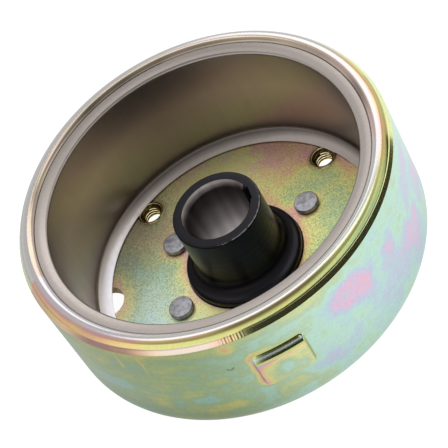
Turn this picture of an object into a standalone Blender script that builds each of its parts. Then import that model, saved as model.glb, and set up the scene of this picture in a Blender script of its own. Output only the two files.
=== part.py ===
"""Flywheel with magnets for the magneto of a small engine.

A drawn steel shell carries arc magnets behind a thin liner, and is riveted to a turned hub with a tapered
bore. Metres, +Z along the shaft axis and up out of the open side. The origin is on the shaft axis, in the
plane of the hub flange's back face, on which the flywheel stands.
"""
import math

import bmesh
import bpy
from mathutils import Matrix, Vector

# Driving dimensions, in metres. Angles are in degrees about +Z, from +X.
SHELL_RADIUS = 0.056
SHELL_HEIGHT = 0.042           # back of the floor to the crest of the rim
WALL = 0.0032
FLOOR = 0.0032
CORNER_RADIUS = 0.007          # outside corner between wall and floor
RIM_WIDTH = 0.0059             # rolled rim, outer wall to inner edge
CREST_INSET = 0.0036           # outer wall to the crest of the rim
SHOULDER_DROP = 0.0033         # crest down to the top of the outer wall
SHOULDER_WIDTH = 0.0009        # turned chamfer at the top of the outer wall
SHOULDER_HEIGHT = 0.0014
RIM_INNER_DROP = 0.0011        # crest down to the rim's inner edge
RIM_DEPTH = 0.0036             # crest down to the rim's underside

FLANGE_RADIUS = 0.030          # hub flange behind the floor
FLANGE_THICKNESS = 0.0042
SPIGOT_RADIUS = 0.0179         # hub disc that centres the shell
SPIGOT_PROUD = 0.0025          # height of that disc above the floor
SPIGOT_CHAMFER = 0.0008
BODY_RADIUS = 0.0134
BODY_TOP = 0.0273              # back of the shell's floor to the hub's top face
BODY_BEVEL = 0.0006
BODY_FILLET = 0.0028           # body to disc
BORE_MOUTH_RADIUS = 0.00938    # large end of the taper, under the chamfer
BORE_SMALL_RADIUS = 0.0083     # small end of the taper
TAPER_LENGTH = 0.0177
MOUTH_CHAMFER_WIDTH = 0.0012
MOUTH_CHAMFER_DEPTH = 0.00195
NUT_RECESS_RADIUS = 0.011
RECESS_CHAMFER = 0.0006
KEYWAY_WIDTH = 0.0048
KEYWAY_REACH = 0.0108          # shaft axis to the bottom of the keyway
KEYWAY_ANGLE = -8.0

RIVET_COUNT = 6
RIVET_CIRCLE_RADIUS = 0.0241
RIVET_FIRST_ANGLE = 10.8
RIVET_SHANK_RADIUS = 0.0025
RIVET_HEAD_RADIUS = 0.00375
RIVET_HEAD_HEIGHT = 0.0017
RIVET_HEAD_ROUND = 0.0003
RIVET_TAIL_RADIUS = 0.0038     # closed end, set in a countersink
RIVET_TAIL_HEIGHT = 0.0014

TAPPED_COUNT = 4
TAPPED_CIRCLE_RADIUS = 0.0395
TAPPED_FIRST_ANGLE = 26.0
TAPPED_BORE_RADIUS = 0.0025    # core of an M6 thread
TAPPED_COLLAR_RADIUS = 0.0042
TAPPED_COLLAR_LENGTH = 0.0015
TAPPED_ENTRY_RADIUS = 0.0037   # rounded entry on the inside of the floor
TAPPED_ENTRY_DEPTH = 0.0010

PLAIN_HOLE_COUNT = 2
PLAIN_HOLE_RADIUS = 0.0055
PLAIN_HOLE_CIRCLE_RADIUS = 0.0443
PLAIN_HOLE_FIRST_ANGLE = 162.0

BOSS_ANGLE = -96.0             # pressed trigger boss on the outer wall
BOSS_WIDTH = 0.0156
BOSS_HEIGHT = 0.0122
BOSS_MIDDLE = 0.0228           # back of the floor to the boss's mid height
BOSS_PROUD = 0.0015
BOSS_EDGE_BEVEL = 0.0005
BOSS_CORNER_RADIUS = 0.0012
BOSS_POCKET_DEPTH = 0.0010
BOSS_POCKET_MARGIN = 0.0016

MAGNET_COUNT = 12
MAGNET_THICKNESS = 0.0050
MAGNET_HEIGHT = 0.030
MAGNET_ARC = 26.0
MAGNET_TOP_DROP = 0.0048       # crest of the rim down to the magnets' tops

LINER_SHEET = 0.0006
LINER_TOP_DROP = 0.00115       # crest of the rim down to the liner's lip
LINER_TOP_BEND = 0.0009
LINER_BOTTOM_BEND = 0.0006     # inside radius
LINER_FLANGE_WIDTH = 0.0043
LINER_LIFT = 0.0003            # floor to the underside of the liner's flange

FIT_GAP = 0.0003               # radial play between pieces that nest
SEAT_GAP = 0.0003              # play between faces that rest on each other

TURN_STEPS = 72
HUB_STEPS = 48
SMALL_STEPS = 16
BOSS_STEPS = 6

# Heights and radii that follow from them.
shell_base = FLANGE_THICKNESS + SEAT_GAP
floor_top = shell_base + FLOOR
crest_z = shell_base + SHELL_HEIGHT
wall_inner_radius = SHELL_RADIUS - WALL
rim_inner_radius = SHELL_RADIUS - RIM_WIDTH
magnet_outer_radius = wall_inner_radius - FIT_GAP
magnet_inner_radius = magnet_outer_radius - MAGNET_THICKNESS
liner_outer_radius = magnet_inner_radius - FIT_GAP
liner_inner_radius = liner_outer_radius - LINER_SHEET
magnet_top = crest_z - MAGNET_TOP_DROP
magnet_bottom = magnet_top - MAGNET_HEIGHT
hub_top = shell_base + BODY_TOP


def clear_scene():
    for obj in list(bpy.data.objects):
        bpy.data.objects.remove(obj)


def material(name, colour, roughness, metallic):
    mat = bpy.data.materials.new(name)
    mat.use_nodes = True
    shader = mat.node_tree.nodes["Principled BSDF"]
    shader.inputs["Base Color"].default_value = (*colour, 1.0)
    shader.inputs["Roughness"].default_value = roughness
    shader.inputs["Metallic"].default_value = metallic
    return mat


def object_from(name, bm, mat=None):
    """Makes an object of a bmesh, with its faces turned outwards."""
    bmesh.ops.remove_doubles(bm, verts=bm.verts, dist=1e-7)
    bmesh.ops.recalc_face_normals(bm, faces=bm.faces)
    mesh = bpy.data.meshes.new(name)
    bm.to_mesh(mesh)
    bm.free()
    obj = bpy.data.objects.new(name, mesh)
    bpy.context.scene.collection.objects.link(obj)
    if mat:
        mesh.materials.append(mat)
        mesh.shade_smooth()
        mesh.set_sharp_from_angle(angle=math.radians(32))
    return obj


def arc(centre, radius, start, end, steps):
    """Points (r, z) on an arc, from one angle to another in degrees."""
    points = []
    for i in range(steps + 1):
        a = math.radians(start + (end - start) * i / steps)
        points.append((centre[0] + radius * math.cos(a), centre[1] + radius * math.sin(a)))
    return points


def turned(outline, steps):
    """A closed outline of (r, z) points spun once round Z. Points on the axis become poles."""
    bm = bmesh.new()
    verts = [bm.verts.new((r, 0.0, z)) for r, z in outline]
    edges = [bm.edges.new((a, b)) for a, b in zip(verts, verts[1:] + verts[:1])]
    bmesh.ops.spin(bm, geom=verts + edges, axis=(0, 0, 1), cent=(0, 0, 0), steps=steps,
                   angle=math.tau, use_merge=True)
    bmesh.ops.dissolve_degenerate(bm, dist=1e-8, edges=bm.edges)
    return bm


def cutter(name, bm):
    obj = object_from(name, bm)
    obj.hide_render = True
    obj.display_type = "WIRE"
    return obj


def combine(obj, other, operation):
    """Adds or cuts another object, as a live Boolean modifier."""
    modifier = obj.modifiers.new(other.name, "BOOLEAN")
    modifier.operation = operation
    modifier.solver = "EXACT"
    modifier.object = other


def around(count, first_angle, circle_radius):
    """Centres of a pattern of holes, as (x, y)."""
    for i in range(count):
        a = math.radians(first_angle + 360.0 * i / count)
        yield circle_radius * math.cos(a), circle_radius * math.sin(a)


def pattern(bm_of_one, places):
    """Copies of one turned shape at several places, in one bmesh."""
    whole = bmesh.new()
    for x, y in places:
        one = bm_of_one()
        bmesh.ops.translate(one, verts=one.verts, vec=(x, y, 0))
        mesh = bpy.data.meshes.new("copy")
        one.to_mesh(mesh)
        one.free()
        whole.from_mesh(mesh)
        bpy.data.meshes.remove(mesh)
    return whole


def sector(inner, outer, low, high, middle, width, steps):
    """A block of a ring: radii, heights, middle angle and width in degrees."""
    bm = bmesh.new()
    start = math.radians(middle - width / 2)
    corners = [(inner, low), (outer, low), (outer, high), (inner, high)]
    verts = [bm.verts.new((r * math.cos(start), r * math.sin(start), z)) for r, z in corners]
    face = bm.faces.new(verts)
    result = bmesh.ops.spin(bm, geom=[face], axis=(0, 0, 1), cent=(0, 0, 0), steps=steps,
                            angle=math.radians(width))
    end = [f for f in result["geom_last"] if isinstance(f, bmesh.types.BMFace)]
    assert len(end) == 1
    return bm


def shell_outline():
    """The cup in section, from the bore edge of the floor, out, up, over the rim and back inside."""
    base, wall_top = shell_base, crest_z - SHOULDER_DROP
    inner_corner = max(CORNER_RADIUS - WALL, 0.0005)
    corner_centre = (SHELL_RADIUS - CORNER_RADIUS, base + CORNER_RADIUS)
    inner_centre = (wall_inner_radius - inner_corner, floor_top + inner_corner)
    ridge = (SHELL_RADIUS - SHOULDER_WIDTH, wall_top + SHOULDER_HEIGHT)
    crest = (SHELL_RADIUS - CREST_INSET, crest_z)
    inner_edge = (rim_inner_radius, crest_z - RIM_INNER_DROP)
    hole = SPIGOT_RADIUS + FIT_GAP
    points = [(hole, base)]
    points += arc(corner_centre, CORNER_RADIUS, -90, 0, 6)
    points += [(SHELL_RADIUS, wall_top), ridge]
    # Each side of the rim is a quarter of an ellipse that peaks at the crest.
    for i in range(1, 4):
        a = math.radians(30 * i)
        points.append((crest[0] + (ridge[0] - crest[0]) * math.cos(a),
                       ridge[1] + (crest[1] - ridge[1]) * math.sin(a)))
    for i in range(1, 3):
        a = math.radians(90 - 30 * i)
        points.append((crest[0] + (inner_edge[0] - crest[0]) * math.cos(a),
                       inner_edge[1] + (crest[1] - inner_edge[1]) * math.sin(a)))
    points += [inner_edge, (rim_inner_radius, crest_z - RIM_DEPTH),
               (wall_inner_radius, crest_z - RIM_DEPTH)]
    points += arc(inner_centre, inner_corner, 0, -90, 4)
    points.append((hole, floor_top))
    return points


def boss_block(margin, back_radius, face_radius):
    """A pad wrapped on the wall, from one radius to another. The margin takes a strip off each side."""
    half_width = BOSS_WIDTH / 2 - margin
    half_height = BOSS_HEIGHT / 2 - margin
    depth = face_radius - back_radius
    bm = bmesh.new()
    bmesh.ops.create_cube(bm, size=1.0)
    bmesh.ops.scale(bm, vec=(2 * half_width, depth, 2 * half_height), verts=bm.verts)
    corners = [e for e in bm.edges if abs(e.verts[0].co.y - e.verts[1].co.y) > depth / 2]
    bmesh.ops.bevel(bm, geom=corners, offset=BOSS_CORNER_RADIUS, offset_type="OFFSET", segments=2,
                    profile=0.5, affect="EDGES", material=-1)
    front = [e for e in bm.edges if max(v.co.y for v in e.verts) < -0.499 * depth]
    bmesh.ops.bevel(bm, geom=front, offset=BOSS_EDGE_BEVEL, offset_type="OFFSET", segments=1,
                    profile=0.5, affect="EDGES", material=-1)
    for i in range(1, BOSS_STEPS):
        x = -half_width + 2 * half_width * i / BOSS_STEPS
        bmesh.ops.bisect_plane(bm, geom=bm.verts[:] + bm.edges[:] + bm.faces[:],
                               plane_co=(x, 0, 0), plane_no=(1, 0, 0), dist=1e-7)
    middle = math.radians(BOSS_ANGLE)
    for v in bm.verts:
        radius = (back_radius + face_radius) / 2 - v.co.y
        a = middle + v.co.x / SHELL_RADIUS
        v.co = Vector((radius * math.cos(a), radius * math.sin(a), v.co.z + shell_base + BOSS_MIDDLE))
    return bm


def make_shell(mat):
    shell = object_from("shell", turned(shell_outline(), TURN_STEPS), mat)
    pad = boss_block(0.0, SHELL_RADIUS - WALL / 2, SHELL_RADIUS + BOSS_PROUD)
    combine(shell, cutter("boss_pad", pad), "UNION")
    pocket = boss_block(BOSS_POCKET_MARGIN, wall_inner_radius - WALL / 2,
                        wall_inner_radius + BOSS_POCKET_DEPTH)
    combine(shell, cutter("boss_pocket", pocket), "DIFFERENCE")

    def collar():
        overlap = FLOOR / 2
        low = shell_base - TAPPED_COLLAR_LENGTH
        high = shell_base + overlap
        return turned([(0, low), (TAPPED_COLLAR_RADIUS, low), (TAPPED_COLLAR_RADIUS, high), (0, high)],
                      SMALL_STEPS)

    def tapped_hole():
        low = shell_base - 2 * TAPPED_COLLAR_LENGTH
        high = floor_top + FLOOR
        outline = [(0, low), (TAPPED_BORE_RADIUS, low),
                   (TAPPED_BORE_RADIUS, floor_top - TAPPED_ENTRY_DEPTH)]
        reach = TAPPED_ENTRY_RADIUS - TAPPED_BORE_RADIUS
        for i in (1, 2):
            a = math.radians(45 * i)
            outline.append((TAPPED_BORE_RADIUS + reach * (1 - math.cos(a)),
                            floor_top - TAPPED_ENTRY_DEPTH * (1 - math.sin(a))))
        outline += [(TAPPED_ENTRY_RADIUS, high), (0, high)]
        return turned(outline, SMALL_STEPS)

    def plain_hole():
        low, high = shell_base - FLOOR, floor_top + FLOOR
        return turned([(0, low), (PLAIN_HOLE_RADIUS, low), (PLAIN_HOLE_RADIUS, high), (0, high)],
                      SMALL_STEPS + 8)

    def rivet_hole():
        radius = RIVET_SHANK_RADIUS + FIT_GAP
        low, high = shell_base - FLOOR, floor_top + FLOOR
        return turned([(0, low), (radius, low), (radius, high), (0, high)], SMALL_STEPS)

    tapped = list(around(TAPPED_COUNT, TAPPED_FIRST_ANGLE, TAPPED_CIRCLE_RADIUS))
    plain = around(PLAIN_HOLE_COUNT, PLAIN_HOLE_FIRST_ANGLE, PLAIN_HOLE_CIRCLE_RADIUS)
    rivets = around(RIVET_COUNT, RIVET_FIRST_ANGLE, RIVET_CIRCLE_RADIUS)
    combine(shell, cutter("collars", pattern(collar, tapped)), "UNION")
    combine(shell, cutter("tapped_holes", pattern(tapped_hole, tapped)), "DIFFERENCE")
    combine(shell, cutter("plain_holes", pattern(plain_hole, plain)), "DIFFERENCE")
    combine(shell, cutter("shell_rivet_holes", pattern(rivet_hole, rivets)), "DIFFERENCE")


def make_hub(mat):
    """Flange behind the floor, disc through the floor, body, tapered bore and nut recess."""
    disc_top = floor_top + SPIGOT_PROUD
    fillet_centre = (BODY_RADIUS + BODY_FILLET, disc_top + BODY_FILLET)
    taper_top = hub_top - MOUTH_CHAMFER_DEPTH
    taper_bottom = taper_top - TAPER_LENGTH
    edge = 0.15 * FLANGE_THICKNESS
    outline = [(NUT_RECESS_RADIUS + RECESS_CHAMFER, 0), (FLANGE_RADIUS - edge, 0), (FLANGE_RADIUS, edge),
               (FLANGE_RADIUS, FLANGE_THICKNESS), (SPIGOT_RADIUS, FLANGE_THICKNESS),
               (SPIGOT_RADIUS, disc_top - SPIGOT_CHAMFER), (SPIGOT_RADIUS - SPIGOT_CHAMFER, disc_top)]
    outline += arc(fillet_centre, BODY_FILLET, 270, 180, 4)
    outline += [(BODY_RADIUS, hub_top - BODY_BEVEL), (BODY_RADIUS - BODY_BEVEL, hub_top),
                (BORE_MOUTH_RADIUS + MOUTH_CHAMFER_WIDTH, hub_top), (BORE_MOUTH_RADIUS, taper_top),
                (BORE_SMALL_RADIUS, taper_bottom), (NUT_RECESS_RADIUS, taper_bottom),
                (NUT_RECESS_RADIUS, RECESS_CHAMFER)]
    hub = object_from("hub", turned(outline, HUB_STEPS), mat)

    key = bmesh.new()
    bmesh.ops.create_cube(key, size=1.0)
    reach = KEYWAY_REACH - BORE_SMALL_RADIUS / 2
    height = TAPER_LENGTH + MOUTH_CHAMFER_DEPTH + 2 * SEAT_GAP
    bmesh.ops.scale(key, vec=(reach, KEYWAY_WIDTH, height), verts=key.verts)
    bmesh.ops.translate(key, vec=(KEYWAY_REACH - reach / 2, 0, hub_top + SEAT_GAP - height / 2),
                        verts=key.verts)
    bmesh.ops.rotate(key, cent=(0, 0, 0), matrix=Matrix.Rotation(math.radians(KEYWAY_ANGLE), 3, "Z"),
                     verts=key.verts)
    combine(hub, cutter("keyway", key), "DIFFERENCE")

    def rivet_hole():
        shank = RIVET_SHANK_RADIUS + FIT_GAP
        mouth = RIVET_TAIL_RADIUS + FIT_GAP
        high = FLANGE_THICKNESS + FLOOR / 2
        return turned([(0, -SEAT_GAP), (mouth, -SEAT_GAP), (mouth, SEAT_GAP),
                       (shank, RIVET_TAIL_HEIGHT + SEAT_GAP), (shank, high), (0, high)], SMALL_STEPS)

    holes = pattern(rivet_hole, around(RIVET_COUNT, RIVET_FIRST_ANGLE, RIVET_CIRCLE_RADIUS))
    combine(hub, cutter("hub_rivet_holes", holes), "DIFFERENCE")


def make_rivets(mat):
    """Round flat head inside the cup, shank through floor and flange, tail closed in the countersink."""
    head_low = floor_top + SEAT_GAP
    head_high = floor_top + RIVET_HEAD_HEIGHT
    outline = [(0, SEAT_GAP), (RIVET_TAIL_RADIUS, SEAT_GAP),
               (RIVET_SHANK_RADIUS, RIVET_TAIL_HEIGHT + SEAT_GAP), (RIVET_SHANK_RADIUS, head_low),
               (RIVET_HEAD_RADIUS, head_low), (RIVET_HEAD_RADIUS, head_high - RIVET_HEAD_ROUND),
               (RIVET_HEAD_RADIUS - RIVET_HEAD_ROUND, head_high), (0, head_high)]
    for i, (x, y) in enumerate(around(RIVET_COUNT, RIVET_FIRST_ANGLE, RIVET_CIRCLE_RADIUS), start=1):
        rivet = object_from(f"rivet_{i}", turned(outline, SMALL_STEPS + 4), mat)
        rivet.location = (x, y, 0)


def make_liner(mat):
    """Thin sleeve over the magnets: lip outwards at the top, flange inwards at the bottom."""
    top = crest_z - LINER_TOP_DROP
    flange_top = floor_top + LINER_LIFT + LINER_SHEET
    lip_end = rim_inner_radius - FIT_GAP
    inner, outer, sheet = liner_inner_radius, liner_outer_radius, LINER_SHEET
    flange_end = inner - LINER_FLANGE_WIDTH
    bend, foot = LINER_TOP_BEND, LINER_BOTTOM_BEND
    outline = [(lip_end, top)]
    outline += arc((inner + bend, top - bend), bend, 90, 180, 3)
    outline += arc((inner - foot, flange_top + foot), foot, 0, -90, 2)
    outline += [(flange_end, flange_top), (flange_end, flange_top - sheet)]
    outline += arc((inner - foot, flange_top + foot), foot + sheet, -90, 0, 3)
    outline += [(outer, top - bend), (inner + bend, top - sheet), (lip_end, top - sheet)]
    object_from("magnet_liner", turned(outline, TURN_STEPS), mat)


def make_magnets(mat):
    for i in range(MAGNET_COUNT):
        middle = 360.0 * i / MAGNET_COUNT
        block = sector(magnet_inner_radius, magnet_outer_radius, magnet_bottom, magnet_top, middle,
                       MAGNET_ARC, 5)
        object_from(f"magnet_{i + 1:02d}", block, mat)


def make_cage(mat):
    """Resin between the shell and the liner, with a window for each magnet."""
    inner_corner = max(CORNER_RADIUS - WALL, 0.0005)
    corner_centre = (wall_inner_radius - inner_corner, floor_top + inner_corner)
    corner = inner_corner - FIT_GAP
    top = crest_z - LINER_TOP_DROP - LINER_SHEET - SEAT_GAP
    step = crest_z - RIM_DEPTH - SEAT_GAP
    inner = magnet_inner_radius
    neck = rim_inner_radius - FIT_GAP
    low = floor_top + FIT_GAP
    outline = [(inner, low + LINER_BOTTOM_BEND)]
    outline += arc(corner_centre, corner, -90, 0, 4)
    outline += [(magnet_outer_radius, step), (neck, step), (neck, top), (inner, top)]
    cage = object_from("resin_cage", turned(outline, TURN_STEPS), mat)
    windows = bmesh.new()
    play = math.degrees(FIT_GAP / magnet_inner_radius)
    for i in range(MAGNET_COUNT):
        middle = 360.0 * i / MAGNET_COUNT
        one = sector(magnet_inner_radius - FIT_GAP, magnet_outer_radius + FIT_GAP, magnet_bottom - SEAT_GAP,
                     magnet_top + SEAT_GAP, middle, MAGNET_ARC + 2 * play, 5)
        mesh = bpy.data.meshes.new("copy")
        one.to_mesh(mesh)
        one.free()
        windows.from_mesh(mesh)
        bpy.data.meshes.remove(mesh)
    combine(cage, cutter("cage_windows", windows), "DIFFERENCE")


clear_scene()
make_shell(material("zinc_chromate", (0.55, 0.57, 0.38), 0.28, 1.0))
make_hub(material("black_steel", (0.03, 0.03, 0.035), 0.42, 0.8))
make_rivets(material("rivet_steel", (0.55, 0.56, 0.60), 0.40, 1.0))
make_liner(material("stainless", (0.58, 0.56, 0.54), 0.32, 1.0))
make_magnets(material("ferrite", (0.06, 0.06, 0.065), 0.60, 0.0))
make_cage(material("resin", (0.10, 0.09, 0.08), 0.55, 0.0))
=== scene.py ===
import math

import bmesh
import bpy
from mathutils import Matrix, Vector, noise


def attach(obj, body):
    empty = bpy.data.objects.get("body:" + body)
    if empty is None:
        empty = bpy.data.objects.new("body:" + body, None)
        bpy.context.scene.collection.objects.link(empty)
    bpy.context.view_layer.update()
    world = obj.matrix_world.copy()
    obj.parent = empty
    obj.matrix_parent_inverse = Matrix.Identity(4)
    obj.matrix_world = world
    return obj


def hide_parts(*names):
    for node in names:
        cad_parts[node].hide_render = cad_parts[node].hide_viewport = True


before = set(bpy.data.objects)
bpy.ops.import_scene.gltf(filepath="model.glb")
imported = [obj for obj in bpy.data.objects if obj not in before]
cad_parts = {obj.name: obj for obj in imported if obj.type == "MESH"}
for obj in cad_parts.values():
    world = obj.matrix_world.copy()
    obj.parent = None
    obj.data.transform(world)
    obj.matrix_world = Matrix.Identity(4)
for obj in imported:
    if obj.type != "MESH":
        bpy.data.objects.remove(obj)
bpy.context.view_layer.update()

# --- Shell ---------------------------------------------------------------------------------------------
# The drawn steel cup that carries everything: a floor, a wall and a rim rolled inwards over the magnets.
# It is pressed, its rim is turned, and it is then zinc plated and dipped in a yellow chromate bath.
WALL_RADIUS = 0.0560
HUB_DISC_RADIUS = 0.0179
TAPPED_CIRCLE, TAPPED_FIRST = 0.0395, 26.0  # radius of the circle in metres, azimuth of the first hole in degrees
PLAIN_CIRCLE, PLAIN_FIRST, PLAIN_RADIUS = 0.0443, 162.0, 0.0055
RIVET_CIRCLE, RIVET_FIRST = 0.0241, 10.8
BOSS_AZIMUTH = math.radians(-95.9)
BOSS_HALF_WIDTH = 0.0078
BOSS_TOP, BOSS_BOTTOM = 0.0344, 0.0208
BOSS_PROUD = 0.0015


def mm(*values):
    return tuple(v / 1000 for v in values)


def bend(centre, radius, start, end, steps):
    """Points of a bend in a section, in millimetres from the centre, between two angles in degrees."""
    return [mm(centre[0] + radius * math.cos(math.radians(start + (end - start) * i / steps)),
               centre[1] + radius * math.sin(math.radians(start + (end - start) * i / steps)))
            for i in range(steps + 1)]


def turn(section, arcs=((0, 360, 48),)):
    """Spins a section of (radius, height) round the shaft axis.

    An arc is its start and its end in degrees, and its steps.
    """
    bm = bmesh.new()
    for start, end, steps in arcs:
        verts = [bm.verts.new((r, 0, z)) for r, z in section]
        edges = [bm.edges.new(pair) for pair in zip(verts, verts[1:] + verts[:1])]
        bmesh.ops.rotate(bm, verts=verts, cent=(0, 0, 0), matrix=Matrix.Rotation(math.radians(start), 3, "Z"))
        bmesh.ops.spin(bm, geom=verts + edges, axis=(0, 0, 1), cent=(0, 0, 0), steps=steps,
                       angle=math.radians(end - start), use_merge=end - start == 360)
    bmesh.ops.remove_doubles(bm, verts=bm.verts, dist=2e-6)
    bmesh.ops.dissolve_degenerate(bm, dist=1e-7, edges=bm.edges)
    bmesh.ops.recalc_face_normals(bm, faces=bm.faces)
    return bm


def piece_from(name, bm, sharp=35):
    """Makes a smooth-shaded piece of a bmesh. Edges over the angle stay sharp."""
    mesh = bpy.data.meshes.new(name)
    bm.to_mesh(mesh)
    bm.free()
    mesh.shade_smooth()
    mesh.set_sharp_from_angle(angle=math.radians(sharp))
    piece = bpy.data.objects.new(name, mesh)
    bpy.context.scene.collection.objects.link(piece)
    return piece


def machine(piece, steps, sharp=35):
    """Joins to a piece, or cuts from it, a list of (operation, tool), and uses the tools up."""
    for operation, tool in steps:
        modifier = piece.modifiers.new(tool.name, "BOOLEAN")
        modifier.operation = operation
        modifier.solver = "EXACT"
        modifier.object = tool
    done = piece.evaluated_get(bpy.context.evaluated_depsgraph_get())
    old = piece.data
    piece.data = bpy.data.meshes.new_from_object(done)
    piece.modifiers.clear()
    bpy.data.meshes.remove(old)
    for _, tool in steps:
        bpy.data.objects.remove(tool)
    piece.data.shade_smooth()
    piece.data.set_sharp_from_angle(angle=math.radians(sharp))


def around(count, first, circle):
    """Centres of a pattern of holes in the floor."""
    return [(circle * math.cos(math.radians(first + 360 * i / count)),
             circle * math.sin(math.radians(first + 360 * i / count))) for i in range(count)]


def turned_at(section, places, steps=40):
    """The same turned shape at each of several places."""
    whole = bmesh.new()
    for x, y in places:
        one = turn(section, [(0, 360, steps)])
        bmesh.ops.translate(one, verts=one.verts, vec=(x, y, 0))
        mesh = bpy.data.meshes.new("copy")
        one.to_mesh(mesh)
        one.free()
        whole.from_mesh(mesh)
        bpy.data.meshes.remove(mesh)
    return piece_from("tool", whole)


def eased(value, start, end):
    """0 before start, 1 after end, and smooth between them. The two may be either way round."""
    t = min(max((value - start) / (end - start), 0), 1)
    return t * t * (3 - 2 * t)


def boss_distance(azimuth, z):
    """Distance from the outline of the trigger boss along the wall, negative inside it."""
    across = (azimuth - BOSS_AZIMUTH + math.pi) % math.tau - math.pi
    corner = 0.0018
    dx = abs(across) * WALL_RADIUS - BOSS_HALF_WIDTH + corner
    dz = abs(z - (BOSS_TOP + BOSS_BOTTOM) / 2) - (BOSS_TOP - BOSS_BOTTOM) / 2 + corner
    return math.hypot(max(dx, 0), max(dz, 0)) + min(max(dx, dz), 0) - corner


# The section runs along the outside from the hub hole, up the wall, over the rolled rim and back down inside.
# The rows are close where the boss, the stains and the turned edge need them.
section = [mm(r, 4.5) for r in (18.2, 24, 32, 40)] + bend((49.0, 11.5), 7.0, -90, 0, 12)
section += [mm(56.0, z) for z in (13, 14.5, 16, 17.5, 19)]
section += [mm(56.0, z / 100) for z in range(2000, 3080, 36)] + [mm(56.0, z / 100) for z in range(3080, 3500, 16)]
section += [mm(56.0, z) for z in (35.6, 36.5, 37.5, 38.5, 39.5, 40.5, 41.3, 42.1, 42.7, 43.1)]
section += [mm(55.97, 43.2), mm(55.90, 43.32), mm(55.60, 43.83), mm(55.25, 44.40), mm(55.14, 44.58), mm(55.12, 44.72)]
section += [mm(54.98, 44.95), mm(54.62, 45.37), mm(54.27, 45.77), mm(54.05, 45.98), mm(53.78, 46.15), mm(53.45, 46.30),
            mm(53.0, 46.42), mm(52.4, 46.48)]
section += [mm(51.9, 46.46), mm(51.4, 46.33), mm(50.9, 46.06), mm(50.5, 45.72), mm(50.22, 45.30), mm(50.1, 44.8)]
section += [mm(50.1, 42.9), mm(52.7, 42.9), mm(52.7, 12.0)] + bend((48.9, 11.5), 3.8, 0, -90, 6)
section += [mm(r / 10, 7.7) for r in range(475, 186, -12)] + [mm(18.2, 7.7)]
form = turn(section, [(-148, -112, 72), (-112, -80, 128), (-80, 212, 216)])

# The boss is pushed out from inside the wall: a long soft slope along its top, tighter edges on its other sides.
for v in form.verts:
    radius = math.hypot(v.co.x, v.co.y)
    if radius > WALL_RADIUS - 1e-5 and 0.019 < v.co.z < 0.037:
        azimuth = math.atan2(v.co.y, v.co.x)
        sides = eased(boss_distance(azimuth, v.co.z), 0, -0.0008)
        top = eased(v.co.z, BOSS_TOP, BOSS_TOP - 0.00275)
        grown = 1 + BOSS_PROUD * sides * top / radius
        v.co = (v.co.x * grown, v.co.y * grown, v.co.z)
shell = piece_from("shell_drawn", form)

tapped = around(4, TAPPED_FIRST, TAPPED_CIRCLE)
plain = around(2, PLAIN_FIRST, PLAIN_CIRCLE)
rivets = around(6, RIVET_FIRST, RIVET_CIRCLE)
# A tapped hole has a drawn collar behind the floor and a small rolled bead in front of it.
collar = [mm(0, 3.0), mm(4.0, 3.0), mm(4.2, 3.2), mm(4.2, 4.3), mm(4.6, 4.65), mm(4.6, 6), mm(0, 6)]
bead = [mm(0, 6.5), mm(4.25, 6.5), mm(4.25, 7.72), mm(4.2, 7.88), mm(4.08, 8.0), mm(3.9, 8.05), mm(3.7, 8.03),
        mm(0, 8.03)]
tapping = [mm(0, 2), mm(3.1, 2), mm(3.1, 7.15), mm(3.3, 7.4), mm(3.42, 7.6), mm(3.45, 7.85), mm(3.6, 8.0),
           mm(3.75, 8.06), mm(3.75, 9), mm(0, 9)]
drill = [mm(0, 2), mm(5.5, 2), mm(5.5, 9), mm(0, 9)]
rivet_drill = [mm(0, 2), mm(2.8, 2), mm(2.8, 9), mm(0, 9)]
machine(shell, [("UNION", turned_at(collar, tapped)), ("UNION", turned_at(bead, tapped, 48)),
                ("DIFFERENCE", turned_at(tapping, tapped, 48)),
                ("DIFFERENCE", turned_at(drill, plain, 64)), ("DIFFERENCE", turned_at(rivet_drill, rivets))])

# The chromate film: its thickness sets its colour, and it gathers round holes, edges and where the bath drained.
# Thickness is a place in the run of colours further down, and one whole run is 1. Each vertex carries its film, its
# lightness under the film, which is mostly painted shade, highlights and reflections with a scuff and chatter marks,
# and its tint (how strongly the film colours it).
BOSS_FILM, WALL_FILM, CHAMFER_FILM, RIM_FILM, FLOOR_FILM = 0.95, 0.77, 1.24, 1.09, 0.66
THINNEST_ON_WALL, THICKEST_ON_FLOOR = 0.49, 1.27
BOSS_SLOPE_END = BOSS_TOP - 0.0030
# Each stain is (azimuth, height, half width in degrees, half height in mm, change of film).
wall_stains = [(-72, 34, 9, 6, -.36), (-66, 29, 5, 6, -.34), (-54, 30, 4, 5, -.34), (-43, 20, 9, 7, -.38),
               (-57, 20, 6, 6, -.18), (-81, 18, 9, 3, -.22), (-30, 33, 8, 6, -.26), (-123, 19, 7, 3, -.20),
               (-150, 24, 9, 3, -.18), (-108, 40, 3, 2, .26), (-136, 18, 9, 3, .10), (-117, 15, 6, 3, .16),
               (-98, 16, 7, 3, .18), (-88, 13, 5, 3, .12), (-141, 39, .6, 4, .32), (-134, 38.5, .6, 4.5, .34),
               (-20, 22, 8, 8, -.3)]


def nearest(point, places):
    """Distance from a point to the nearest of the holes, measured in the floor's plane."""
    return min(math.hypot(point.x - x, point.y - y) for x, y in places)


def line(value, middle, width):
    """A soft line: 1 in its middle, and nothing a few widths away."""
    return math.exp(-((value - middle) / width) ** 2)


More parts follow.
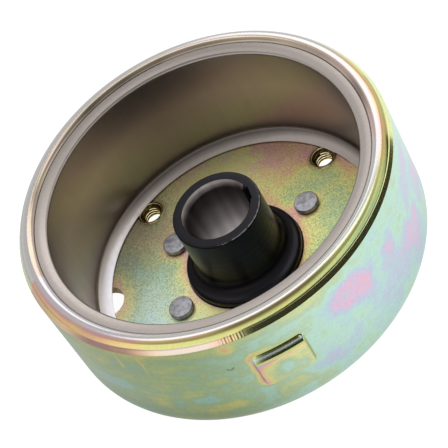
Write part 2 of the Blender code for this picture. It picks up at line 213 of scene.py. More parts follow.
film, tone, tint = [], [], []
for v in shell.data.vertices:
    p = v.co
    radius = math.hypot(p.x, p.y)
    azimuth = math.atan2(p.y, p.x)
    degrees = math.degrees(azimuth)
    broad = noise.noise(p * 45) + 0.5 * noise.noise(p * 110 + Vector((3, 1, 7)))
    cloudy = noise.noise(p * 210 + Vector((9, 2, 4)))
    if radius > 0.0545 and p.z < 0.0431 or p.z < 0.0072:
        # The wall, and the outside of the floor. The film is thicker to the left of the boss, and painted shade darkens
        # the wall to the left and towards the bottom.
        if degrees < 0:
            left = eased(degrees, -85, -122)
        else:
            left = 0.4 * eased(degrees, 0, 50) + 0.6 * eased(degrees, 60, 160)
        value = WALL_FILM + 0.16 * left + 0.07 * broad + 0.03 * cloudy
        value += 0.18 * eased(p.z, 0.0375, 0.043) * (1 - 0.4 * left) * eased(abs(degrees + 105), 50, 25)
        for where, height, wide, tall, change in wall_stains:
            warp = noise.noise(p * 150) * 0.7 + noise.noise(p * 420) * 0.3
            away = math.hypot((degrees - where) / wide + warp, (p.z * 1000 - height) / tall + warp)
            value += change * eased(away, 1.5, 0.1)
        value = max(value, THINNEST_ON_WALL + 0.05 * cloudy)
        # Painted shade: darker to the left and towards the bottom.
        light = 1.06 - 0.32 * left - 0.26 * eased(p.z, 0.024, 0.006) * (0.4 + 0.6 * left)
        colour = 0.75 + 0.15 * left
        # A small scuff, the lower half of a ring 1.8 mm across.
        scuff = math.hypot((degrees + 110) * 0.98, p.z * 1000 - 32.6)
        light -= 0.45 * line(scuff, 0.9, 0.28) * eased(p.z, 0.0328, 0.0324)
        edge = boss_distance(azimuth, p.z)
        if edge < 0.004 and radius > 0.0555:
            # The film gathers along the boss's edges, most along its left and its top.
            near_left = eased(degrees, -93, -103)
            from_left = (azimuth - BOSS_AZIMUTH) * WALL_RADIUS + BOSS_HALF_WIDTH
            from_right = 2 * BOSS_HALF_WIDTH - from_left
            from_top = BOSS_SLOPE_END - p.z
            on_boss = BOSS_FILM + 0.12 * cloudy
            on_boss += 0.42 * math.exp(-max(from_left, 0) / 0.0024)
            on_boss += 0.34 * math.exp(-max(from_top, 0) / 0.0014)
            on_boss += 0.16 * math.exp(-max(from_right, 0) / 0.0012)
            on_boss -= 0.15 * line(from_left, 0.0075, 0.003) * line(from_top, 0.004, 0.00316)
            outside = value + (0.03 + 0.36 * near_left) * eased(edge, 0.0022, 0)
            value = on_boss if edge < 0 else outside
            # A thin dark line along the boss's edges below its sloped top is painted shade.
            if p.z < BOSS_TOP - 0.0035:
                light -= 0.30 * line(edge, -0.0003, 0.0003)
            if p.z > BOSS_SLOPE_END and edge < 0:
                middle = eased(abs(BOSS_TOP - 0.0014 - p.z), 0.0005, 0.0001)
                value = 1.0 - 0.25 * middle
                colour = 1.0 - 0.7 * middle
                light = 1.0
    elif p.z > 0.0425 and radius > 0.0551:
        # The turned chamfer, whose changes of lightness round the part are painted reflection: bright at its bare left,
        # then a dull length, darker still at the far left, and a comb of chatter marks that darken towards the right.
        value = CHAMFER_FILM + 0.07 * broad - 0.22 * eased(degrees, -108, -97)
        colour = 0.80
        if degrees < 0:
            colour -= 0.42 * eased(degrees, -134, -122) * eased(degrees, -106, -114)
        light = 1.22 - 0.62 * eased(degrees, -162, -148) * eased(degrees, -126, -138)
        light -= 0.3 * eased(degrees, -158, -172)
        if -109 < degrees < -101 and (degrees / 0.9) % 1 < 0.42:
            light = 0.95 - 0.7 * eased(degrees, -110, -105)
    elif p.z > 0.0425:
        # The rolled rim. The film wears thin towards the crest, which is nearly bare zinc.
        value = RIM_FILM + 0.12 * eased(radius, 0.0548, 0.0530) + 0.05 * broad
        colour = 0.90 - 0.78 * eased(radius, 0.0536, 0.0529)
        light = 1.05
        if degrees < 0:
            value += 0.13 * eased(degrees, -120, -165)
            value -= 0.10 * eased(degrees, -95, -68)
            value += 0.16 * eased(degrees, -45, -20)
            # A dark strip below the crest at the front, and a thin dark line near the ridge at the right, are painted
            # reflection.
            light -= 0.66 * line(radius, 0.0537, 0.0004) * eased(degrees, -112, -101) * eased(degrees, -66, -80)
            light -= 0.35 * line(radius, 0.0546, 0.0003) * eased(degrees, -68, -55)
        else:
            colour *= 1 - 0.8 * eased(degrees, 2, 25)
        # The far inner slope of the curl is darker and mottled: painted shade.
        if radius < 0.0519 and degrees > -25:
            shade = 0.56 + 0.45 * broad + 0.16 * eased(abs(degrees - 40), 30, 5) + 0.25 * eased(degrees, 115, 145)
            light = light + (shade - light) * eased(degrees, -25, 0) * eased(radius, 0.0519, 0.0513)
            colour = 0.45
        # The curl's inner face, in the gap over the liner, is dark: painted shade.
        if radius < 0.05035:
            light = 0.22
    else:
        # The floor. Its film is thick round the hub, the plain holes and the rivets, and thickens to the back.
        value = FLOOR_FILM + 0.66 * math.exp(-max(radius - HUB_DISC_RADIUS, 0) / 0.0060)
        value += 0.17 * broad + 0.06 * cloudy
        value += 0.36 * eased(nearest(p, plain) - PLAIN_RADIUS, 0.0080, 0) + 0.12 * eased(radius, 0.034, 0.042)
        value += 0.14 * eased(nearest(p, rivets), 0.0065, 0.0038)
        value += (0.22 + 0.18 * eased(p.x, -0.020, 0.005)) * eased(p.y, 0.006, 0.030)
        value += 0.34 * eased(p.x, 0.013, 0.032)
        brown = eased(p.y, 0.004, 0.030) * eased(p.x, 0.004, -0.022)
        value = min(value, THICKEST_ON_FLOOR) + 0.10 * brown
        # The floor's lightness is painted light: lighter in broad patches at the left, the back and the front left, and
        # darker where it is browner at the back left.
        light = 1.34 - 0.36 * brown + 0.2 * eased(p.x, -0.008, -0.028) * (1 - brown)
        light += 0.44 * eased(p.y, 0.010, 0.036) * eased(p.x, -0.020, 0.0) * eased(p.x, 0.030, 0.012)
        light += 0.48 * eased(p.y, 0.0, -0.022) * eased(p.x, 0.005, -0.010)
        # Darker round the tapped holes' beads: painted shadow.
        light *= 1 - 0.35 * eased(nearest(p, tapped), 0.0058, 0.0043)
        colour = 0.84 - 0.30 * brown - 0.22 * eased(p.x, -0.010, -0.030) * eased(abs(p.y), 0.020, 0.0)
    film.append(value)
    tone.append(light)
    tint.append(colour)
for name, values in (("film", film), ("tone", tone), ("tint", tint)):
    shell.data.attributes.new(name, "FLOAT", "POINT").data.foreach_set("value", values)


def linear(hex_colour):
    """An sRGB hex colour as linear RGBA."""
    parts = [int(hex_colour[i:i + 2], 16) / 255 for i in (1, 3, 5)]
    return (*[p / 12.92 if p <= 0.04045 else ((p + 0.055) / 1.055) ** 2.4 for p in parts], 1.0)


def node(mat, kind, settings=None, links=None):
    """Adds a node. Settings are its ramp's stops, its own properties or its inputs' values. Links feed its inputs."""
    made = mat.node_tree.nodes.new(kind)
    for key, value in (settings or {}).items():
        if key == "stops":
            elements = made.color_ramp.elements
            while len(elements) < len(value):
                elements.new(0.5)
            for element, (position, colour) in zip(elements, value):
                element.position = position
                element.color = linear(colour)
        elif isinstance(key, str) and hasattr(made, key):
            setattr(made, key, value)
        else:
            made.inputs[key].default_value = value
    for key, source in (links or {}).items():
        mat.node_tree.links.new(source, made.inputs[key])
    return made


def new_finish(name, colour, roughness, metallic):
    """A new material and its shader."""
    mat = bpy.data.materials.new(name)
    mat.use_nodes = True
    shader = mat.node_tree.nodes["Principled BSDF"]
    shader.inputs["Base Color"].default_value = linear(colour)
    shader.inputs["Roughness"].default_value = roughness
    shader.inputs["Metallic"].default_value = metallic
    return mat, shader


# Yellow chromate on zinc: a clear film over bright metal, whose colour runs through these as it thickens.
FILM = [(0.00, "#BCCB80"), (0.10, "#D8D57C"), (0.20, "#E6C07C"), (0.30, "#DEA59B"), (0.40, "#D9A3BD"),
        (0.50, "#BFAFCB"), (0.60, "#A9BACB"), (0.70, "#A2C7C7"), (0.80, "#A6D3B8"), (0.90, "#A3C090"),
        (1.00, "#BCCB80")]


# A clear, coloured gloss over metal: soft clouds about 5 mm across and, on the wall, streaks 15 mm by 2 mm along the
# drawing marks. The zinc's own crystals are far finer than half a millimetre, and are drawn that coarse to show.
def chromate(name, roughness, grain_mm, grain, cloud, streak, dust, bump):
    """One state of the plated surface: how satin it is, and how far its grain, clouds and streaks change the film."""
    mat, shader = new_finish(name, "#A6D3B8", roughness, 1.0)
    place = node(mat, "ShaderNodeTexCoord").outputs["Object"]
    thickness = node(mat, "ShaderNodeAttribute", {"attribute_name": "film"}).outputs["Fac"]
    speckle = node(mat, "ShaderNodeTexNoise", {"Scale": 1000 / grain_mm, "Detail": 2.0},
                   {"Vector": place}).outputs["Fac"]
    clouds = node(mat, "ShaderNodeTexNoise", {"Scale": 210.0, "Detail": 4.0, "Roughness": 0.65},
                  {"Vector": place}).outputs["Fac"]
    drawn = node(mat, "ShaderNodeMapping", {"Scale": (0.14, 0.14, 1.0), "Rotation": (0.5, 0.4, 0.3)},
                 {"Vector": place}).outputs[0]
    streaks = node(mat, "ShaderNodeTexNoise", {"Scale": 480.0, "Detail": 3.0}, {"Vector": drawn}).outputs["Fac"]
    spread = node(mat, "ShaderNodeMath", {"operation": "MULTIPLY_ADD", 1: grain, 2: -(grain + cloud + streak) / 2},
                  {0: speckle}).outputs[0]
    spread = node(mat, "ShaderNodeMath", {"operation": "MULTIPLY_ADD", 1: cloud}, {0: clouds, 2: spread}).outputs[0]
    spread = node(mat, "ShaderNodeMath", {"operation": "MULTIPLY_ADD", 1: streak}, {0: streaks, 2: spread}).outputs[0]
    total = node(mat, "ShaderNodeMath", {"operation": "ADD"}, {0: thickness, 1: spread}).outputs[0]
    turn_of_colour = node(mat, "ShaderNodeMath", {"operation": "FRACT"}, {0: total}).outputs[0]
    colour = node(mat, "ShaderNodeValToRGB", {"stops": FILM}, {"Fac": turn_of_colour}).outputs["Color"]
    amount = node(mat, "ShaderNodeAttribute", {"attribute_name": "tint"}).outputs["Fac"]
    zinc = node(mat, "ShaderNodeMix", {"data_type": "RGBA", 6: linear("#CFD0D4")}, {0: amount, 7: colour}).outputs[2]
    darkness = node(mat, "ShaderNodeAttribute", {"attribute_name": "tone"}).outputs["Fac"]
    dusty = node(mat, "ShaderNodeMath", {"operation": "MULTIPLY_ADD", 1: dust, 2: 1 - dust / 2},
                 {0: speckle}).outputs[0]
    darkness = node(mat, "ShaderNodeMath", {"operation": "MULTIPLY"}, {0: darkness, 1: dusty}).outputs[0]
    toned = node(mat, "ShaderNodeVectorMath", {"operation": "SCALE"}, {0: zinc, "Scale": darkness}).outputs[0]
    mat.node_tree.links.new(toned, shader.inputs["Base Color"])
    if bump:
        relief = node(mat, "ShaderNodeBump", {"Strength": bump, "Distance": 0.0002}, {"Height": speckle}).outputs[0]
        mat.node_tree.links.new(relief, shader.inputs["Normal"])
    return mat


# Painted shade: a dark film colour, mottled like torn metal, in the bores of the holes, between the threads and beside
# the beads.
hole_shade_finish, shader = new_finish("chromate_painted_shade_in_holes", "#3A3220", 0.40, 1.0)
place = node(hole_shade_finish, "ShaderNodeTexCoord").outputs["Object"]
torn = node(hole_shade_finish, "ShaderNodeTexNoise", {"Scale": 1800.0, "Detail": 2.0}, {"Vector": place}).outputs["Fac"]
shades = node(hole_shade_finish, "ShaderNodeValToRGB", {"stops": [(0.3, "#2C2414"), (0.5, "#5C4C28"), (0.75, "#A08848")]},
              {"Fac": torn}).outputs["Color"]
hole_shade_finish.node_tree.links.new(shades, shader.inputs["Base Color"])

# Bright cut crests and burnished beads, whose yellow film gives the eye gold.
gold, shader = new_finish("chromated_thread", "#EAD69C", 0.2, 1.0)
place = node(gold, "ShaderNodeTexCoord").outputs["Object"]
torn = node(gold, "ShaderNodeTexNoise", {"Scale": 1500.0, "Detail": 2.0}, {"Vector": place}).outputs["Fac"]
shades = node(gold, "ShaderNodeValToRGB", {"stops": [(0.3, "#B09A58"), (0.5, "#F0DFA4"), (0.7, "#FFF6D0")]},
              {"Fac": torn}).outputs["Color"]
gold.node_tree.links.new(shades, shader.inputs["Base Color"])

# The drawn wall is satin, the turned rim nearly a mirror, and the pressed floor matt with a grain.
WALL, RIM, FLOOR, IN_HOLES, GOLD = range(5)
shell.data.materials.clear()
shell.data.materials.append(chromate("chromate_drawn_wall", 0.34, 0.55, 0.07, 0.42, 0.26, 0.26, 0.06))
shell.data.materials.append(chromate("chromate_turned_rim", 0.16, 0.8, 0.06, 0.20, 0.05, 0.15, 0.0))
shell.data.materials.append(chromate("chromate_pressed_floor", 0.46, 0.42, 0.12, 0.26, 0.0, 1.5, 0.45))
shell.data.materials.append(hole_shade_finish)
shell.data.materials.append(gold)
for face in shell.data.polygons:
    centre = face.center
    radius = math.hypot(centre.x, centre.y)
    azimuth = math.atan2(centre.y, centre.x)
    from_tapped = nearest(centre, tapped)
    in_tapped = from_tapped < 0.00318
    in_plain = nearest(centre, plain) < 0.0056 and abs(face.normal.z) < 0.3
    on_slope = BOSS_TOP - 0.0029 < centre.z < BOSS_TOP and boss_distance(azimuth, centre.z) < -0.0001
    if centre.z > 0.0431 or on_slope and radius > 0.0555:
        face.material_index = RIM
    # The dark rings beside the beads' bright crests, and the walls of the holes, take the painted shade.
    elif 0.0070 < centre.z < 0.0081 and from_tapped < 0.0044:
        on_bead = from_tapped > 0.00400 or 0.00350 < from_tapped < 0.00376
        face.material_index = GOLD if on_bead else IN_HOLES
    elif centre.z < 0.0075 and (in_tapped or in_plain):
        face.material_index = IN_HOLES
    elif 0.0072 < centre.z < 0.0085 and radius < 0.050:
        face.material_index = FLOOR
    else:
        face.material_index = WALL
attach(shell, "root")
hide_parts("shell")

# --- Threads -------------------------------------------------------------------------------------------
# The cut threads inside the drawn collars of the floor, one turn in a millimetre. Their crests are bright, and
# their flanks are darkened with painted shade.
PITCH, TURNS, STEPS_PER_TURN = 0.001, 3.25, 32
CREST_RADIUS, ROOT_RADIUS = 0.00252, 0.00316
for i, (x, y) in enumerate(tapped, start=1):
    form = bmesh.new()
    ridge = [form.verts.new((r, 0, z)) for r, z in ((ROOT_RADIUS, 0.00306), (CREST_RADIUS, 0.00330),
                                                    (CREST_RADIUS, 0.00366), (ROOT_RADIUS, 0.00390))]
    face = form.faces.new(ridge)
    bmesh.ops.spin(form, geom=[face], axis=(0, 0, 1), cent=(0, 0, 0), dvec=(0, 0, PITCH / STEPS_PER_TURN),
                   steps=int(TURNS * STEPS_PER_TURN), angle=math.tau * TURNS)
    bmesh.ops.recalc_face_normals(form, faces=form.faces)
    bmesh.ops.translate(form, verts=form.verts, vec=(x, y, 0))
    thread = piece_from(f"thread_{i}", form)
    thread.data.materials.append(gold)
    thread.data.materials.append(hole_shade_finish)
    for face in thread.data.polygons:
        corners = [thread.data.vertices[v].co for v in face.vertices]
        on_crest = all(math.hypot(c.x - x, c.y - y) < CREST_RADIUS + 0.00008 for c in corners)
        face.material_index = 0 if on_crest else 1
    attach(thread, "root")

# --- Hub -----------------------------------------------------------------------------------------------
# The turned steel hub: a flange behind the floor, a disc through it, and a body with a ground taper bore and
# one keyway. It is blackened all over, and the bore and its mouth are ground bright afterwards.
section = [mm(11.6, 0), mm(29.4, 0), mm(30, 0.6), mm(30, 4.2), mm(17.9, 4.2)]
section += bend((16.6, 9.0), 1.3, 0, 80, 8) + bend((17.546, 14.363), 4.146, 260, 180, 16)[1:]
section += [mm(13.4, z) for z in (16, 18, 21, 24, 27, 29.5, 30.6, 31.1)]
section += [mm(13.33, 31.4), mm(13.12, 31.65), mm(12.8, 31.78), mm(12.4, 31.8), mm(11.4, 31.8), mm(10.62, 31.8),
            mm(10.5, 31.7)]
section += [mm(9.42, 29.92), mm(9.34, 29.6), mm(8.3, 12.15), mm(11.0, 12.15), mm(11.0, 0.6)]
hub = piece_from("hub_turned", turn(section, [(0, 360, 192)]))

# One keyway is cut along the bore, and the back of the flange is countersunk for the rivet tails.
form = bmesh.new()
bmesh.ops.create_cube(form, size=1.0)
bmesh.ops.scale(form, vec=mm(6.8, 4.8, 22), verts=form.verts)
bmesh.ops.translate(form, vec=mm(7.4, 0, 22), verts=form.verts)
bmesh.ops.rotate(form, cent=(0, 0, 0), matrix=Matrix.Rotation(math.radians(-8), 3, "Z"), verts=form.verts)
countersink = [mm(0, -1), mm(4.1, -1), mm(4.1, 0.3), mm(2.8, 1.7), mm(2.8, 6), mm(0, 6)]
machine(hub, [("DIFFERENCE", piece_from("keyway", form)), ("DIFFERENCE", turned_at(countersink, rivets))], 28)

# Handling has worn the blacking through along the outer edge of the mouth, most on one side.
worn = []
for v in hub.data.vertices:
    radius, degrees = math.hypot(v.co.x, v.co.y), math.degrees(math.atan2(v.co.y, v.co.x))
    facing = 0.45 + 0.55 * eased(abs(degrees + 35), 110, 40)
    mouth = v.co.z > 0.0312 and (0.0131 < radius < 0.01345)
    worn.append(facing if mouth else 0.0)
hub.data.attributes.new("worn", "FLOAT", "POINT").data.foreach_set("value", worn)

# Black oxide on turned steel gives the eye a satin near-black, with chips of bare steel at the worn edge and fine
# turning marks. The real feed is about 0.2 mm a turn, and is drawn at 0.6 mm to show.
blacking, shader = new_finish("blackened_steel", "#222126", 0.27, 0.75)
place = node(blacking, "ShaderNodeTexCoord").outputs["Object"]
chips = node(blacking, "ShaderNodeTexNoise", {"Scale": 1500.0, "Detail": 3.0}, {"Vector": place}).outputs["Fac"]
edge_wear = node(blacking, "ShaderNodeAttribute", {"attribute_name": "worn"}).outputs["Fac"]
bare = node(blacking, "ShaderNodeMath", {"operation": "MULTIPLY"}, {0: edge_wear, 1: chips}).outputs[0]
coat = node(blacking, "ShaderNodeValToRGB",
            {"stops": [(0.0, "#222126"), (0.36, "#26252A"), (0.5, "#85858A"), (1.0, "#B5B5BA")]},
            {"Fac": bare}).outputs["Color"]
blacking.node_tree.links.new(coat, shader.inputs["Base Color"])
lathe = node(blacking, "ShaderNodeMapping", {"Scale": (0.03, 0.03, 1.0)}, {"Vector": place}).outputs[0]
turning = node(blacking, "ShaderNodeTexNoise", {"Scale": 1700.0, "Detail": 2.0}, {"Vector": lathe}).outputs["Fac"]
relief = node(blacking, "ShaderNodeBump", {"Strength": 0.6, "Distance": 0.0001}, {"Height": turning}).outputs[0]
blacking.node_tree.links.new(relief, shader.inputs["Normal"])

# The bore is ground bright. Light spreads across its marks along the shaft, and soft stripes along the shaft are
# painted into its colour as painted reflection.
ground, shader = new_finish("ground_steel", "#A29B9B", 0.38, 1.0)
shader.inputs["Anisotropic"].default_value = 0.75
along = node(ground, "ShaderNodeTangent", {"direction_type": "RADIAL", "axis": "Z"}).outputs[0]
ground.node_tree.links.new(along, shader.inputs["Tangent"])
place = node(ground, "ShaderNodeTexCoord").outputs["Object"]
length = node(ground, "ShaderNodeMapping", {"Scale": (1.0, 1.0, 0.03)}, {"Vector": place}).outputs[0]
painted_reflection_stripes = node(ground, "ShaderNodeTexNoise", {"Scale": 150.0, "Detail": 2.0}, {"Vector": length}).outputs["Fac"]
shades = node(ground, "ShaderNodeValToRGB", {"stops": [(0.3, "#7A7474"), (0.5, "#948D8D"), (0.7, "#B8B3B3")]},
              {"Fac": painted_reflection_stripes}).outputs["Color"]
ground.node_tree.links.new(shades, shader.inputs["Base Color"])
hub.data.materials.clear()
hub.data.materials.append(blacking)
hub.data.materials.append(ground)
for face in hub.data.polygons:
    centre = face.center
    in_bore = math.hypot(centre.x, centre.y) < 0.01102 and 0.0007 < centre.z < 0.03175
    in_keyway = centre.x > 0 and abs(centre.y + 0.0013) < 0.0035 and math.hypot(centre.x, centre.y) > 0.0096
    face.material_index = 1 if in_bore and not in_keyway else 0
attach(hub, "root")
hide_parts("hub")

# --- Rivets --------------------------------------------------------------------------------------------
# Six bare steel rivets hold the floor to the hub's flange. Their flat heads are slightly hammered, and their
# tails are closed flush into countersinks behind.
# Bare cold-headed steel: light grey and satin, mottled by hammer dents about 1 mm across.
rivet_steel, shader = new_finish("rivet_steel", "#A4A5AD", 0.42, 1.0)
place = node(rivet_steel, "ShaderNodeTexCoord").outputs["Object"]
dents = node(rivet_steel, "ShaderNodeTexNoise", {"Scale": 900.0, "Detail": 3.0}, {"Vector": place}).outputs["Fac"]
mottle = node(rivet_steel, "ShaderNodeValToRGB", {"stops": [(0.3, "#96979F"), (0.5, "#B9BAC1"), (0.7, "#D4D5DA")]},
              {"Fac": dents}).outputs["Color"]
rivet_steel.node_tree.links.new(mottle, shader.inputs["Base Color"])
relief = node(rivet_steel, "ShaderNodeBump", {"Strength": 0.5, "Distance": 0.0002}, {"Height": dents}).outputs[0]
rivet_steel.node_tree.links.new(relief, shader.inputs["Normal"])
section = [mm(0, 0.3), mm(3.8, 0.3), mm(2.5, 1.7), mm(2.5, 8.0), mm(3.6, 8.0), mm(3.75, 8.15), mm(3.75, 9.1),
           mm(3.68, 9.26), mm(3.5, 9.37), mm(3.2, 9.4), mm(0, 9.42)]
for i, (x, y) in enumerate(rivets, start=1):
    form = turn(section)
    bmesh.ops.translate(form, verts=form.verts, vec=(x, y, 0))
    rivet = piece_from(f"rivet_headed_{i}", form)
    rivet.data.materials.append(rivet_steel)
    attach(rivet, "root")
    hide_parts(f"rivet_{i}")

# --- Liner ---------------------------------------------------------------------------------------------
# A pressed stainless sleeve that covers the magnets: a lip laid outwards at the top, a flange at the bottom.
section = [mm(50.35, 45.24), mm(49.1, 45.18), mm(48.4, 45.08), mm(47.9, 44.97)] + bend((47.7, 43.8), 1.1, 95, 180, 10)
section += [mm(46.6, 30.0)] + bend((45.4, 10.58), 1.2, 0, -72, 10) 
section += [mm(44.2, 8.95), mm(42.5, 8.42), mm(42.3, 8.3), mm(42.3, 8.15), mm(42.45, 8.05)]
section += [mm(44.1, 8.45)] + bend((44.5, 11.3), 2.6, -80, 0, 8) + [mm(47.1, 43.6), mm(47.9, 44.3), mm(50.35, 44.75)]
liner = piece_from("liner_pressed", turn(section, [(0, 360, 240)]))

# Satin stainless sheet is a warm grey that mirrors softly, with faint drawing marks up the wall. A painted highlight
# brightens the flange, and painted shade darkens the corner above it. The grey runs from 0, painted highlight, over
# 0.25, plain, to 1, painted shade.
stainless, shader = new_finish("stainless_sheet", "#BDB4AE", 0.31, 1.0)
dirt = []
for v in liner.data.vertices:
    radius, degrees = math.hypot(v.co.x, v.co.y), math.degrees(math.atan2(v.co.y, v.co.x))
    # Painted shade in the corner above the flange and on the lip at the back, and a painted highlight on the flange and
    # the lower wall at the left.
    corner = 0.50 * eased(radius, 0.0452, 0.0458) * eased(v.co.z, 0.0125, 0.0100)
    corner *= 1 - 0.7 * eased(abs(degrees), 110, 165)
    bright = 0.25 * eased(v.co.z, 0.0100, 0.0092) * eased(abs(degrees), 110, 160) * eased(radius, 0.0455, 0.0451)
    bright += 0.18 * eased(abs(degrees), 130, 170) * eased(v.co.z, 0.036, 0.012)
    lip = 0.30 * eased(v.co.z, 0.0430, 0.0450) * eased(abs(degrees - 90), 85, 25)
    dirt.append(max(0.25 + corner + lip - bright, 0))
liner.data.attributes.new("dirt", "FLOAT", "POINT").data.foreach_set("value", dirt)
liner_shade_and_marks = node(stainless, "ShaderNodeAttribute", {"attribute_name": "dirt"}).outputs["Fac"]
place = node(stainless, "ShaderNodeTexCoord").outputs["Object"]
drawn = node(stainless, "ShaderNodeMapping", {"Scale": (1.0, 1.0, 0.08)}, {"Vector": place}).outputs[0]
marks = node(stainless, "ShaderNodeTexNoise", {"Scale": 900.0, "Detail": 3.0}, {"Vector": drawn}).outputs["Fac"]
uneven = node(stainless, "ShaderNodeMapRange", {"To Min": -0.035, "To Max": 0.035}, {"Value": marks}).outputs[0]
liner_shade_and_marks = node(stainless, "ShaderNodeMath", {"operation": "ADD"}, {0: liner_shade_and_marks, 1: uneven}).outputs[0]
sheet_colour = node(stainless, "ShaderNodeValToRGB", {"stops": [(0.0, "#E9E7EC"), (0.25, "#BDB4AE"), (1.0, "#3A332F")]},
                    {"Fac": liner_shade_and_marks}).outputs["Color"]
satin = node(stainless, "ShaderNodeMapRange", {"From Min": 0.3, "From Max": 0.7, "To Min": 0.29, "To Max": 0.33},
             {"Value": marks})
stainless.node_tree.links.new(satin.outputs[0], shader.inputs["Roughness"])
stainless.node_tree.links.new(sheet_colour, shader.inputs["Base Color"])
liner.data.materials.append(stainless)
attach(liner, "root")
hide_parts("magnet_liner")

# --- Magnets and resin ---------------------------------------------------------------------------------
# Ground ferrite arcs bedded in cast resin, sealed between the liner and the shell.
# Ground ferrite is a dark matt ceramic with a fine grain.
ferrite, shader = new_finish("ground_ferrite", "#3C3C3F", 0.6, 0.0)
place = node(ferrite, "ShaderNodeTexCoord").outputs["Object"]
grains = node(ferrite, "ShaderNodeTexNoise", {"Scale": 1200.0, "Detail": 4.0}, {"Vector": place}).outputs["Fac"]
shades = node(ferrite, "ShaderNodeValToRGB", {"stops": [(0.3, "#303033"), (0.5, "#3C3C3F"), (0.7, "#4E4E52")]},
              {"Fac": grains}).outputs["Color"]
ferrite.node_tree.links.new(shades, shader.inputs["Base Color"])

# Cast resin with filler: a very dark brown, a little glossy, clouded where the filler has settled.
resin, shader = new_finish("cast_resin", "#2E2724", 0.5, 0.0)
place = node(resin, "ShaderNodeTexCoord").outputs["Object"]
filler = node(resin, "ShaderNodeTexNoise", {"Scale": 400.0, "Detail": 5.0}, {"Vector": place}).outputs["Fac"]
shades = node(resin, "ShaderNodeValToRGB", {"stops": [(0.3, "#231D1B"), (0.5, "#2E2724"), (0.7, "#3D3431")]},
              {"Fac": filler}).outputs["Color"]
resin.node_tree.links.new(shades, shader.inputs["Base Color"])

for name, cad_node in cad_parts.items():
    if name.startswith("magnet_") and name != "magnet_liner":
        cad_node.data.materials[0] = ferrite
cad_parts["resin_cage"].data.materials[0] = resin

# --- Stage ---------------------------------------------------------------------------------------------
# A backlit white sheet as the floor, a broad soft light behind and above, and a low black card on one side
# that puts the dark line into the turned edge.
sheet = bpy.data.materials.new("backlit_white_sheet")
sheet.use_nodes = True
shader = sheet.node_tree.nodes["Principled BSDF"]
shader.inputs["Base Color"].default_value = (0.3, 0.3, 0.3, 1)
shader.inputs["Roughness"].default_value = 1.0
shader.inputs["Specular IOR Level"].default_value = 0.0
shader.inputs["Emission Color"].default_value = (1, 1, 1, 1)
shader.inputs["Emission Strength"].default_value = 0.92
form = bmesh.new()
bmesh.ops.create_grid(form, x_segments=1, y_segments=1, size=6.0)
floor = piece_from("floor_sheet", form)
floor.data.materials.append(sheet)
floor.visible_glossy = False

# What the metal mirrors of that floor: the same sheet, falling off close to the part, towards its left and towards
# the back, as painted shade.
mirrored = bpy.data.materials.new("mirrored_sheet")
mirrored.use_nodes = True
shader = mirrored.node_tree.nodes["Principled BSDF"]
shader.inputs["Base Color"].default_value = (0, 0, 0, 1)
shader.inputs["Specular IOR Level"].default_value = 0.0
shader.inputs["Emission Color"].default_value = (1, 1, 1, 1)
place = node(mirrored, "ShaderNodeTexCoord").outputs["Object"]
apart = node(mirrored, "ShaderNodeVectorMath", {"operation": "LENGTH"}, {0: place}).outputs["Value"]
near = node(mirrored, "ShaderNodeMapRange", {"From Min": 0.052, "From Max": 0.085, "To Min": 0.84, "To Max": 1.02},
            {"Value": apart}).outputs[0]
axes = node(mirrored, "ShaderNodeSeparateXYZ", {}, {0: place}).outputs
across = node(mirrored, "ShaderNodeMapRange", {"From Min": -0.09, "From Max": 0.03, "To Min": 0.74, "To Max": 1.20},
              {"Value": axes["X"]}).outputs[0]
beyond = node(mirrored, "ShaderNodeMapRange", {"From Min": 0.04, "From Max": 0.20, "To Min": 1.0, "To Max": 0.72},
              {"Value": axes["Y"]}).outputs[0]
glow = node(mirrored, "ShaderNodeMath", {"operation": "MULTIPLY"}, {0: near, 1: across}).outputs[0]
glow = node(mirrored, "ShaderNodeMath", {"operation": "MULTIPLY"}, {0: glow, 1: beyond}).outputs[0]
mirrored.node_tree.links.new(glow, shader.inputs["Emission Strength"])
form = bmesh.new()
bmesh.ops.create_grid(form, x_segments=1, y_segments=1, size=6.0)
mirror_floor = piece_from("mirrored_floor", form)
mirror_floor.data.materials.append(mirrored)
mirror_floor.visible_camera = False
mirror_floor.visible_diffuse = False
mirror_floor.visible_shadow = False

# The card is an arc round the part, lower towards one end. Only the metal sees it.
CARD_RADIUS, CARD_START, CARD_ARC, CARD_HEIGHT = 0.26, -109, 117, 0.135
form = bmesh.new()
start = math.radians(CARD_START)
ends = [form.verts.new((CARD_RADIUS * math.cos(start), CARD_RADIUS * math.sin(start), z))
        for z in (0.001, CARD_HEIGHT)]
upright = form.edges.new(ends)
bmesh.ops.spin(form, geom=ends + [upright], axis=(0, 0, 1), cent=(0, 0, 0), steps=40, angle=math.radians(CARD_ARC))
for v in form.verts:
    if v.co.z > 0.01:
        v.co.z -= 0.062 * eased(math.degrees(math.atan2(v.co.y, v.co.x)), -75, -10)
card = piece_from("black_card", form)
black, shader = new_finish("black_card", "#33302A", 1.0, 0.0)
shader.inputs["Specular IOR Level"].default_value = 0.0
card.data.materials.append(black)
card.visible_camera = False
card.visible_diffuse = False
card.visible_shadow = False

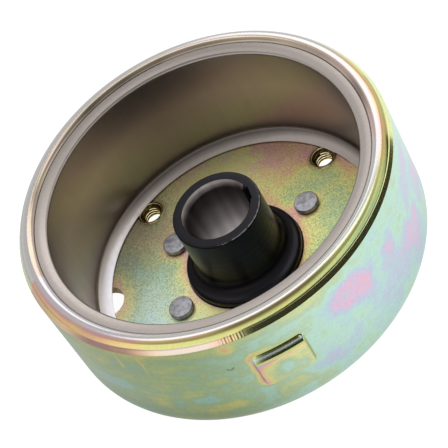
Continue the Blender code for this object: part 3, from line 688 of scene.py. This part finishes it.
# The studio's own light: bright low in front, darker above, and even behind.
world = bpy.data.worlds.new("studio")
bpy.context.scene.world = world
world.use_nodes = True
sky = world.node_tree.nodes["Background"]
sky.inputs["Color"].default_value = (1.0, 0.99, 0.98, 1)
direction = node(world, "ShaderNodeTexCoord").outputs["Generated"]
axes = node(world, "ShaderNodeSeparateXYZ", {}, {0: direction}).outputs
in_front = node(world, "ShaderNodeMapRange", {"From Min": 0.15, "From Max": -0.15}, {"Value": axes["Y"]}).outputs[0]
behind = node(world, "ShaderNodeMapRange", {"From Min": 0.0, "From Max": 0.6, "To Min": 0.82, "To Max": 0.64},
              {"Value": axes["Z"]}).outputs[0]
dim = node(world, "ShaderNodeMapRange", {"From Min": 0.50, "From Max": 0.66, "To Min": 1.12, "To Max": 0.42},
           {"Value": axes["Z"]}).outputs[0]
strength = node(world, "ShaderNodeMix", {"data_type": "FLOAT"}, {0: in_front, 2: behind, 3: dim}).outputs[0]
world.node_tree.links.new(strength, sky.inputs["Strength"])


def softbox(name, place, size, power):
    """A rectangular lamp aimed at the part."""
    lamp = bpy.data.lights.new(name, "AREA")
    lamp.shape = "RECTANGLE"
    lamp.size, lamp.size_y = size
    lamp.energy = power
    box = bpy.data.objects.new(name, lamp)
    box.location = place
    box.rotation_euler = (Vector((0, 0, 0.02)) - Vector(place)).to_track_quat("-Z", "Y").to_euler()
    bpy.context.scene.collection.objects.link(box)


softbox("overhead", (0.08, 0.30, 0.95), (0.9, 0.30), 0.85)
softbox("side_window", (0.40, 0.66, 0.70), (0.75, 0.50), 1.1)

camera_data = bpy.data.cameras.new("camera")
camera_data.lens = 148.64
camera_data.clip_start = 0.01
camera = bpy.data.objects.new("camera", camera_data)
camera.location = mm(-1.68, -359.95, 413.36)
look = Vector((0.00267, 0.67934, -0.73382)).to_track_quat("-Z", "Y").to_matrix()
camera.rotation_euler = (look @ Matrix.Rotation(math.radians(-31.81), 3, "Z")).to_euler()
bpy.context.scene.collection.objects.link(camera)
bpy.context.scene.camera = camera
bpy.context.scene.view_settings.view_transform = "Standard"
